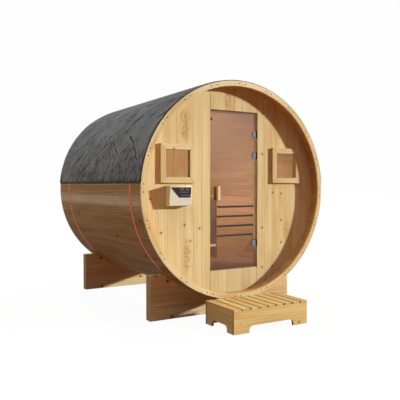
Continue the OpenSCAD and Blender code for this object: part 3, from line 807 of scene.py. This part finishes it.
def crumpled(height, length, chance):
    """Lift of one side of the roof: puffs between sharp creases, gathered low down and slanting above."""

    def field(u, v, spans):
        """Noise whose cells have these spans in metres."""
        return waves(u / spans[0], v / spans[1], chance)

    def strokes(u, v, spans, width):
        """Thin lines that come and go."""
        seen = smooth_step(field(length, height, spans=(0.16, 0.14)), -0.15, 0.2)
        return seen * bell(field(u, v, spans), width)

    sway = SWAY * field(height, length, spans=(0.25, 0.30))
    jitter = JITTER * field(height, length, spans=(0.09, 0.09))
    low = 1 - smooth_step(height, *LOW_REACH)
    gathers = strokes(length + 0.2 * height + sway, height, spans=(0.075, 0.30), width=0.09)
    slants = strokes(length + 1.3 * height + sway, 1.3 * length - height, spans=(0.11, 0.7), width=0.08)
    fine = np.abs(field(length + 0.7 * height + 2 * sway, height - 0.3 * length, spans=(0.030, 0.07)))
    puffs = field(length + 0.8 * height + sway, height, spans=(0.09, 0.15))
    lift = MEAN_LIFT + PUFF_LIFT * puffs + FINE_LIFT * fine
    lift = lift - GATHER_DEPTH * low * gathers - SLANT_DEPTH * (1 - LOW_CALM * low) * slants
    for points in DEEP_CREASES:
        away = distance_to(points, height + jitter, length - jitter + 0.5 * sway)
        fade = smooth_step(field(length, height, spans=(0.13, 0.13)), -0.7, -0.15)
        lip = LIP_LIFT * bell(away - LIP_AWAY, LIP_WIDTH)
        lift += fade * (lip - CREASE_DEPTH * bell(away, CREASE_WIDTH))
    return lift


def averaged(field, reach):
    """Mean over a square of grid points round each one."""
    for axis in (0, 1):
        count = field.shape[axis]
        shifts = range(-reach, reach + 1)
        moved = [field.take(np.clip(np.arange(count) + i, 0, count - 1), axis) for i in shifts]
        field = sum(moved) / len(moved)
    return field


def felt_lift(arc, length):
    """Lift of the whole sheet above its bed, and how far each spot lies below its surroundings."""
    chance = np.random.default_rng(FELT_SEED)
    whole = arc.max()
    left = crumpled(arc, length, chance)
    right = crumpled(whole - arc, length.max() - length, chance)
    lift = left + (right - left) * smooth_step(arc, *(share * whole for share in SIDES_MEET))
    height = np.minimum(arc, whole - arc)
    edge = np.minimum(height, np.minimum(length, length.max() - length))
    calm = 1 - RIDGE_CALM * smooth_step(height, *RIDGE_REACH)
    at_edge = EDGE_SHARE + (1 - EDGE_SHARE) * smooth_step(edge, 0.0, EDGE_REACH)
    lift = np.clip(lift + BED_LIFT, 0, None) * at_edge * calm
    return lift, np.clip((averaged(lift, CREASE_REACH) - lift) / CREASE_SCALE, -1, 1)


def build_felt():
    """Wrinkled sheet over the upper half of the barrel, with a plain underside."""
    outer = FELT_HIGH.x
    seat = outer - FELT_T + FELT_GAP
    turns, ys = np.meshgrid(np.linspace(-FELT_REACH, FELT_REACH, FELT_ROWS),
                            np.linspace(FELT_LOW.y, FELT_HIGH.y, FELT_COLUMNS), indexing="ij")
    lift, crease = felt_lift((turns + FELT_REACH) * outer, ys - FELT_LOW.y)

    def layer(radius, turn, y):
        return np.stack([radius * np.sin(turn), y, AXIS_Z + radius * np.cos(turn)], axis=-1).reshape(-1, 3)

    def quads(index):
        corners = [index[:-1, :-1], index[:-1, 1:], index[1:, 1:], index[1:, :-1]]
        return np.stack([c.ravel() for c in corners], axis=1)

    def border(index):
        return np.concatenate([index[0, :-1], index[:-1, -1], index[-1, :0:-1], index[:0:-1, 0]])

    step = UNDERSIDE_STEP
    top = np.arange(turns.size).reshape(turns.shape)
    under_turns, under_ys = turns[::step, ::step], ys[::step, ::step]
    under = top.size + np.arange(under_turns.size).reshape(under_turns.shape)
    verts = np.concatenate([layer(seat + TOP_SHARE * FELT_T + lift, turns, ys),
                            layer(np.full_like(under_turns, seat), under_turns, under_ys)])
    faces = quads(top).tolist() + quads(under)[:, ::-1].tolist()
    rim, under_rim = border(top), border(under)
    for i, (first, second) in enumerate(zip(under_rim, np.roll(under_rim, -1))):
        above = [rim[(step * i + k) % len(rim)] for k in range(step, -1, -1)]
        faces.append([first, second, *above])
    felt = piece("roof_felt_sheet", verts, faces, FELT, smooth=True)
    shade = felt.data.attributes.new("crease", "FLOAT", "POINT")
    shade.data.foreach_set("value", np.concatenate([crease.ravel(), np.zeros(under.size)]))
    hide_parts("roof_felt")


# Screw heads: sides, rings as shares of the radius across and up, and radii and places in metres
SCREW_SIDES = 10
SCREW_RINGS = ((1.0, 0.0), (0.8, 0.12), (0.3, 0.06))
RIM_SCREW_R = 0.0065
RIM_PAIR_HALF = 0.035
SLAT_SCREW_R = 0.004
SLAT_PAIR_HALF = 0.02
SLAT_END = 0.011


def screw_heads(name, places, outward, radius, material):
    """Low domed screw heads on flat faces that look outward, as one mesh."""
    sides = SCREW_SIDES
    outward = Vector(outward)
    across = outward.orthogonal().normalized()
    other = outward.cross(across)
    verts = []
    faces = []
    for place in places:
        start = len(verts)
        for share, lift in SCREW_RINGS:
            for i in range(sides):
                turn = math.tau * i / sides
                spoke = across * math.cos(turn) + other * math.sin(turn)
                verts.append(Vector(place) + spoke * radius * share + outward * radius * lift)
        for level in (0, sides):
            for i in range(sides):
                j = (i + 1) % sides
                faces.append([start + level + i, start + level + j,
                              start + level + sides + j, start + level + sides + i])
        faces.append([start + 2 * sides + i for i in range(sides)])
        faces.append([start + i for i in reversed(range(sides))])
    made = piece(name, verts, faces, material)


def build_screws():
    """A pair of screws at each joint of the rim rings, and at the slats' ends on the step."""
    middle_r = BARREL_R - STAVE_T / 2
    half_pair = RIM_PAIR_HALF / middle_r
    rims = (("front_rim_screws", FRONT_Y, (0, -1, 0)), ("back_rim_screws", BACK_Y, (0, 1, 0)))
    for name, y, outward in rims:
        places = []
        for i in range(RIM_COUNT):
            for side in (-half_pair, half_pair):
                turn = RIM_TURN + math.tau * i / RIM_COUNT + side
                places.append((middle_r * math.sin(turn), y, AXIS_Z + middle_r * math.cos(turn)))
        screw_heads(name, places, outward, RIM_SCREW_R, SCREW)
    low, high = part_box("step_slats")
    places = []
    for i in range(SLAT_COUNT):
        middle = low.x + (i + 0.5) * (high.x - low.x) / SLAT_COUNT
        for side in (-SLAT_PAIR_HALF, SLAT_PAIR_HALF):
            for y in (low.y + SLAT_END, high.y - SLAT_END):
                places.append((middle + side, y, high.z))
    screw_heads("step_screws", places, (0, 0, 1), SLAT_SCREW_R, SCREW)


# Lit segments of a digit: top, upper left, upper right, middle, lower left, lower right, bottom
SEGMENTS = {"0": "1110111", "6": "1101111", "8": "1111111", "5": "1101011"}
# Middle, width and height of each segment, as shares of the digit
SEGMENT_BARS = [
    (0.5, 1.0, 0.8, 0.1), (0.0, 0.75, 0.1, 0.4), (1.0, 0.75, 0.1, 0.4), (0.5, 0.5, 0.8, 0.1),
    (0.0, 0.25, 0.1, 0.4), (1.0, 0.25, 0.1, 0.4), (0.5, 0.0, 0.8, 0.1),
]

# The box's leaning front: how far back its foot lies, and the height of the bevels above and below it
FACE_LEAN = 0.02
FACE_BEVELS = 0.012
BAR_LIFTS = (-0.0005, 0.0006)

# Marks on the display in metres, sideways from its right edge and down its face
NUMBERS = (("85", -0.110), ("60", -0.054))
DIGIT_SIZE = 0.012
DIGIT_STEP = 0.021
DIGIT_TOP = 0.012
LEAST_BAR = 0.003
# Rows of small marks: start, step, distance down, width, height and count
MARK_ROWS = ((-0.110, 0.016, 0.044, 0.010, 0.007, 6), (-0.096, 0.018, 0.074, 0.011, 0.008, 4))
KEY_PLACE = (-0.016, 0.074)
KEY_REACH = 0.0035
KEY_HEIGHT = 0.013
KEY_BARS = 12
KEY_BAR_WIDTH = 0.002


def display_bars(name, bars, material):
    """Thin raised bars on the display's leaning face; a bar is its middle, width and height on that face."""
    low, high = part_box("control_display")
    box_low, box_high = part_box("control_box")
    top = Vector((high.x, low.y, high.z))
    drop = Vector((0.0, FACE_LEAN, -(box_high.z - box_low.z - FACE_BEVELS))).normalized()
    outward = Vector((0.0, drop.z, -drop.y))
    right = Vector((1.0, 0.0, 0.0))
    verts = []
    faces = []
    for x, y, w, h in bars:
        start = len(verts)
        for lift in BAR_LIFTS:
            for sx, sy in ((-1, 1), (-1, -1), (1, -1), (1, 1)):
                verts.append(top + right * (x + sx * w / 2) + drop * (y - sy * h / 2) + outward * lift)
        faces.append([start + i for i in (4, 5, 6, 7)])
        faces.append([start + i for i in (3, 2, 1, 0)])
        faces += [[start + i, start + (i + 1) % 4, start + 4 + (i + 1) % 4, start + 4 + i] for i in range(4)]
    made = piece(name, verts, faces, material)


def build_display():
    """Two plain numbers, two rows of small marks and a round key on the display."""
    size = DIGIT_SIZE
    digits = []
    for text, left in NUMBERS:
        for i, figure in enumerate(text):
            for lit, (x, y, w, h) in zip(SEGMENTS[figure], SEGMENT_BARS):
                if lit == "1":
                    digits.append((left + DIGIT_STEP * i + x * size, DIGIT_TOP + (1 - y) * size,
                                   max(w * size, LEAST_BAR), max(h * size, LEAST_BAR)))
    display_bars("display_numbers", digits, DIGIT)
    marks = []
    for start, step, down, width, height, count in MARK_ROWS:
        marks += [(start + step * i, down, width, height) for i in range(count)]
    display_bars("display_signs", marks, MARK)
    x, y = KEY_PLACE
    key = []
    for i in range(KEY_BARS):
        height = KEY_HEIGHT * math.sin(math.pi * (i + 0.5) / KEY_BARS)
        key.append((x + KEY_REACH * math.cos(math.pi * i / KEY_BARS), y, KEY_BAR_WIDTH, height))
    display_bars("display_key", key, DOT)


def widen_gaps(mesh):
    """Takes a little off both edges of each slat of the step, except the outermost edges."""
    low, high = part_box("step_slats")
    pitch = (high.x - low.x) / SLAT_COUNT
    for vert in mesh.vertices:
        middle = low.x + (int((vert.co.x - low.x) / pitch) + 0.5) * pitch
        if low.x + SLAT_TRIM < vert.co.x < high.x - SLAT_TRIM:
            vert.co.x -= math.copysign(SLAT_TRIM, vert.co.x - middle)


def finish_nodes():
    """Materials of the CAD pieces that keep their own shape, and eased copies of plain timber."""
    looks = {
        PINE_STAVES: ["roof_staves", "left_staves", "right_staves", "belly_staves"],
        PINE_RIM: ["front_rim_ring", "back_rim_ring"],
        HOOP: ["front_hoop", "rear_hoop"],
        DOOR_GLASS: ["door_glass"],
        PANE_GLASS: ["window_glass_left", "window_glass_right"],
        CHROME: ["door_hinge_clamps"],
        DARK_STEEL: ["door_hinge_brackets"],
        CATCH: ["door_catch"],
        LATCH: ["door_latch"],
        BLACK: ["control_display"],
        SEAT_WOOD: ["bench_seat"],
        INSIDE_LENGTHWISE: ["floor_bearers", "bench_front_boards"],
        INSIDE_ACROSS: ["floor_boards", "bench_end_boards", "bench_kick_board"],
        INSIDE_UPRIGHT: ["bench_frame", "door_stop"],
    }
    for material, names in looks.items():
        for name in names:
            nodes[name].data.materials.clear()
            nodes[name].data.materials.append(material)
    for name in ("front_cradle", "rear_cradle"):
        eased(name, CRADLE_WOOD, CRADLE_EASE)
    for name in ("step_front_skirt", "step_back_skirt"):
        eased(name, STEP_ACROSS, STEP_EASE)
    eased("step_side_skirts", STEP_LENGTHWISE, STEP_EASE)
    widen_gaps(eased("step_slats", STEP_LENGTHWISE, STEP_EASE).data)
    for name in ("door_post_left", "door_post_right"):
        eased(name, PINE_FRONT, POST_EASE)
    for name in ("door_handle_outer", "door_handle_inner"):
        eased(name, HANDLE_WOOD, HANDLE_EASE, "door")
    eased("control_box", CREAM, BOX_EASE)


# Sunlight: the way it travels, its lamp's distance, its strength and its spread
SUN_TRAVEL = Vector((-0.894, 0.389, -0.222))
SUN_AWAY = 8
SUN_STRENGTH = 6.3
SUN_SPREAD = math.radians(2.5)

# Light and floor: linear colours, where they rise, and the floor's whiteness and reach
LAMP_COLOUR = (0.90, 0.99, 0.97)
SKY_LOW = (0.022, 0.010, 0.006)
SKY_HIGH = (1.98, 1.88, 1.81)
SKY_RISE = (0.58, 1.0)
WARM_SIDE = (0.35, -0.90, 0.25)
WARM_FILL = (0.08, 0.010, 0.003)
WARM_RISE = (0.1, 0.95)
GLOSS = (0.7, 0.7, 0.7)
BACKDROP_WHITE = (0.991, 0.991, 0.991)
FLOOR_BOUNCE = (0.245, 0.118, 0.070)
FLOOR_PALE = (0.9, 0.9, 0.9)
FLOOR_SHARE = 0.95
FLOOR_REACH = 60.0

# Soft lamps: place, target, power in watts, width and height in metres, and spread in degrees
MIDDLE = Vector((0.0, 0.0, AXIS_Z))
SOFT_LAMPS = {
    "left_fill": ((-5.8, 2.6, 5.0), MIDDLE, 148.0, (4.0, 3.0), 180),
    "back_fill": ((1.0, 8.0, 3.2), MIDDLE, 260.0, (4.0, 3.0), 180),
    "low_fill": ((-3.2, FRONT_Y - 2.2, 0.25), (-0.3, 0.2, 0.25), 0.44, (1.5, 0.3), 30),
    "cabin_side_lamp": ((-0.50, 0.50, 1.78), (0.75, 0.50, 1.78), 6.4, (0.6, 0.25), 140),
    "cabin_seat_lamp": ((0.46, 0.50, 1.25), (0.95, 0.50, 1.13), 0.95, (1.4, 0.06), 140),
    "cabin_front_lamp": ((0.50, -0.765, 1.20), (0.50, 0.0, 1.06), 3.3, (0.6, 0.4), 140),
    "cabin_post_lamp": ((DOOR_X - 0.36, POST_BACK_Y - 0.02, AXIS_Z),
                        (DOOR_X, POST_BACK_Y - 0.035, AXIS_Z), 0.3, (0.02, 1.3), 60),
}

# Camera of the main view
CAMERA_PLACE = (-3.0150, FRONT_Y - 4.3068, 1.2897)
CAMERA_TURN = (math.radians(90 - 1.602), 0.0, math.radians(-30.749))
CAMERA_LENS = 48.775


def hang(data, place, target):
    """Hangs a lamp that faces a target and doesn't show itself."""
    data.color = LAMP_COLOUR
    made = bpy.data.objects.new(data.name, data)
    made.location = place
    made.rotation_mode = "QUATERNION"
    made.rotation_quaternion = (Vector(target) - Vector(place)).to_track_quat("-Z", "Y")
    for ray in ("camera", "glossy", "transmission"):
        setattr(made, "visible_" + ray, False)
    bpy.context.scene.collection.objects.link(made)


class World(Shader):
    """The studio's surroundings, with the same short calls as a material."""

    def __init__(self, name):
        world = bpy.data.worlds.new(name)
        world.use_nodes = True
        bpy.context.scene.world = world
        self.tree = world.node_tree
        self.background = self.tree.nodes["Background"]


def white_to_eye(s):
    """1 for rays that come from the eye, straight or through glass, before any soft bounce."""
    path = s.add("LightPath").outputs
    seen = s.math("MAXIMUM", path["Is Camera Ray"], path["Is Transmission Ray"])
    return s.math("MULTIPLY", seen, s.math("LESS_THAN", path["Diffuse Depth"], 0.5))


def build_world():
    """White to the eye, pale in gloss; as a light, brighter overhead and with a warm glow from the front."""
    s = World("studio")
    towards = s.add("TexCoord").outputs["Generated"]
    height = s.add("SeparateXYZ", {0: towards}).outputs["Z"]
    facing = s.add("VectorMath", {0: towards, 1: WARM_SIDE}, operation="DOT_PRODUCT").outputs["Value"]
    sky = s.mix(s.ramp(height, *SKY_RISE), SKY_LOW, SKY_HIGH)
    light = s.mix(s.ramp(facing, *WARM_RISE), sky, WARM_FILL, "ADD")
    light = s.mix(s.add("LightPath").outputs["Is Glossy Ray"], light, GLOSS)
    s.feed(s.background.inputs["Color"], s.mix(white_to_eye(s), light, BACKDROP_WHITE))


def build_lamps():
    """The sun, three fills and the small lamps inside the cabin."""
    sun = bpy.data.lights.new("sun", "SUN")
    sun.energy = SUN_STRENGTH
    sun.angle = SUN_SPREAD
    hang(sun, MIDDLE - SUN_TRAVEL * SUN_AWAY, MIDDLE)
    for name, (place, target, power, size, spread) in SOFT_LAMPS.items():
        soft = bpy.data.lights.new(name, "AREA")
        soft.energy = power
        soft.shape = "RECTANGLE"
        soft.size, soft.size_y = size
        soft.spread = math.radians(spread)
        hang(soft, place, target)


def build_floor():
    """Pale floor that is white to the eye, pale in gloss, and keeps a faint shadow of the object."""
    reach = FLOOR_REACH
    mesh = bpy.data.meshes.new("studio_floor")
    corners = [(-reach, -reach, 0), (reach, -reach, 0), (reach, reach, 0), (-reach, reach, 0)]
    mesh.from_pydata(corners, [], [[0, 1, 2, 3]])
    floor = bpy.data.objects.new("studio_floor", mesh)
    bpy.context.scene.collection.objects.link(floor)
    s = Shader("pale_floor")
    eye = white_to_eye(s)
    s.set(Base_Color=s.mix(eye, FLOOR_BOUNCE, FLOOR_PALE), Roughness=0.9, Specular_IOR_Level=0.0)
    white = s.add("Emission", {"Color": (1, 1, 1, 1), "Strength": 1.0}).outputs[0]
    share = s.math("MULTIPLY", eye, FLOOR_SHARE)
    mixed = s.add("MixShader", {0: share, 1: s.bsdf.outputs[0], 2: white}).outputs[0]
    pale = s.add("Emission", {"Color": (*GLOSS, 1), "Strength": 1.0}).outputs[0]
    glossy = s.add("LightPath").outputs["Is Glossy Ray"]
    mixed = s.add("MixShader", {0: glossy, 1: mixed, 2: pale}).outputs[0]
    s.feed(s.tree.nodes["Material Output"].inputs["Surface"], mixed)
    mesh.materials.append(s.material)


def place_camera():
    """Camera that looks at the front and the left side."""
    data = bpy.data.cameras.new("view")
    data.lens = CAMERA_LENS
    camera = bpy.data.objects.new("view", data)
    camera.location = CAMERA_PLACE
    camera.rotation_euler = CAMERA_TURN
    bpy.context.scene.collection.objects.link(camera)
    bpy.context.scene.camera = camera


place_camera()
build_world()
build_lamps()
build_floor()
finish_nodes()
build_walls()
build_window_frames()
build_felt()
build_screws()
build_display()

bpy.context.scene.view_settings.view_transform = "Standard"
